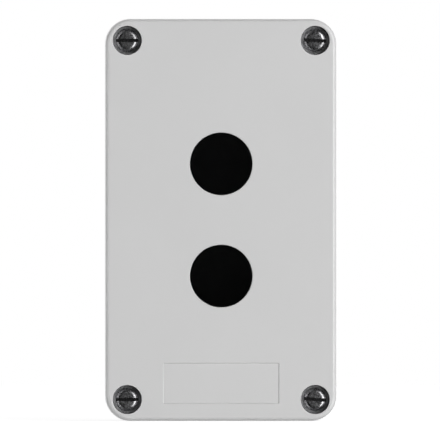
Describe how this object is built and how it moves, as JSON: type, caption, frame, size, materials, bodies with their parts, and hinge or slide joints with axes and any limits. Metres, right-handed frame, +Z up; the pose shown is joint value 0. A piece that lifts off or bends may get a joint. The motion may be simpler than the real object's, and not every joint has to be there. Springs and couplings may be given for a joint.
{
  "type": "pushbutton control station enclosure",
  "caption": "Upright rectangular cast control station: screwed-on cover with round cut-outs for control units, deep base, label recess, cable entries.",
  "frame": {"origin": "centre of the four wall fixing holes, in the plane of the back", "axes": "+X to the viewer's right, +Z up the wall, +Y into the wall; the front faces -Y"},
  "size_m": [0.0826, 0.064, 0.1436],
  "materials": {
    "cover_paint": "light grey powder coat, fine texture",
    "base_paint": "dark grey powder coat, fine texture",
    "screw_steel": "turned, dark zinc plate",
    "seal_rubber": "matt",
    "ring_nylon": "natural nylon",
    "black_nylon": "moulded, satin",
    "earth_brass": "satin"
  },
  "bodies": {
    "base": {"base_casing": "base_paint", "fixing_seal_top_left": "seal_rubber", "fixing_seal_top_right": "seal_rubber", "fixing_seal_bottom_left": "seal_rubber", "fixing_seal_bottom_right": "seal_rubber"},
    "cover": {"cover": "cover_paint", "cover_gasket": "seal_rubber"},
    "retaining_ring_top_left": {"retaining_ring_top_left": "ring_nylon"},
    "cover_screw_top_left": {"cover_screw_top_left": "screw_steel"},
    "retaining_ring_top_right": {"retaining_ring_top_right": "ring_nylon"},
    "cover_screw_top_right": {"cover_screw_top_right": "screw_steel"},
    "retaining_ring_bottom_left": {"retaining_ring_bottom_left": "ring_nylon"},
    "cover_screw_bottom_left": {"cover_screw_bottom_left": "screw_steel"},
    "retaining_ring_bottom_right": {"retaining_ring_bottom_right": "ring_nylon"},
    "cover_screw_bottom_right": {"cover_screw_bottom_right": "screw_steel"},
    "entry_plug_seal": {"entry_plug_seal": "seal_rubber"},
    "entry_plug": {"entry_plug": "black_nylon"},
    "earth_clamp": {"earth_clamp": "earth_brass", "earth_lock_washer": "screw_steel"},
    "earth_screw": {"earth_screw": "earth_brass"}
  },
  "joints": [
    {"name": "cover_lift", "type": "slide", "parent": "base", "child": "cover", "axis": [0, -1, 0], "range_m": [0, 0.06]},
    {"name": "cover_screw_top_left_rise", "type": "slide", "parent": "cover", "child": "retaining_ring_top_left", "axis": [0, -1, 0], "range_m": [0, 0.007]},
    {"name": "cover_screw_top_left_turn", "type": "hinge", "parent": "retaining_ring_top_left", "child": "cover_screw_top_left", "pos_m": [-0.0335, -0.0592, 0.064], "axis": [0, -1, 0], "range_deg": [0, 3601]},
    {"name": "cover_screw_top_right_rise", "type": "slide", "parent": "cover", "child": "retaining_ring_top_right", "axis": [0, -1, 0], "range_m": [0, 0.007]},
    {"name": "cover_screw_top_right_turn", "type": "hinge", "parent": "retaining_ring_top_right", "child": "cover_screw_top_right", "pos_m": [0.0335, -0.0592, 0.064], "axis": [0, -1, 0], "range_deg": [0, 3601]},
    {"name": "cover_screw_bottom_left_rise", "type": "slide", "parent": "cover", "child": "retaining_ring_bottom_left", "axis": [0, -1, 0], "range_m": [0, 0.007]},
    {"name": "cover_screw_bottom_left_turn", "type": "hinge", "parent": "retaining_ring_bottom_left", "child": "cover_screw_bottom_left", "pos_m": [-0.0335, -0.0592, -0.064], "axis": [0, -1, 0], "range_deg": [0, 3601]},
    {"name": "cover_screw_bottom_right_rise", "type": "slide", "parent": "cover", "child": "retaining_ring_bottom_right", "axis": [0, -1, 0], "range_m": [0, 0.007]},
    {"name": "cover_screw_bottom_right_turn", "type": "hinge", "parent": "retaining_ring_bottom_right", "child": "cover_screw_bottom_right", "pos_m": [0.0335, -0.0592, -0.064], "axis": [0, -1, 0], "range_deg": [0, 3601]},
    {"name": "entry_plug_out", "type": "slide", "parent": "base", "child": "entry_plug_seal", "axis": [0, 0, 1], "range_m": [0, 0.0075]},
    {"name": "entry_plug_turn", "type": "hinge", "parent": "entry_plug_seal", "child": "entry_plug", "pos_m": [0, -0.025, 0.07088], "axis": [0, 0, 1], "range_deg": [0, 1801]},
    {"name": "earth_clamp_rise", "type": "slide", "parent": "base", "child": "earth_clamp", "axis": [0, -1, 0], "range_m": [0, 0.0021]},
    {"name": "earth_screw_turn", "type": "hinge", "parent": "earth_clamp", "child": "earth_screw", "pos_m": [-0.022, -0.0132, -0.038], "axis": [0, -1, 0], "range_deg": [0, 1081]}
  ],
  "couplings": [
    {"joint": "cover_screw_top_left_turn", "follows": "cover_screw_top_left_rise", "rad_per_m": 8976},
    {"joint": "cover_screw_top_right_turn", "follows": "cover_screw_top_right_rise", "rad_per_m": 8976},
    {"joint": "cover_screw_bottom_left_turn", "follows": "cover_screw_bottom_left_rise", "rad_per_m": 8976},
    {"joint": "cover_screw_bottom_right_turn", "follows": "cover_screw_bottom_right_rise", "rad_per_m": 8976},
    {"joint": "entry_plug_turn", "follows": "entry_plug_out", "rad_per_m": 4188.8},
    {"joint": "earth_screw_turn", "follows": "earth_clamp_rise", "rad_per_m": 8976}
  ]
}
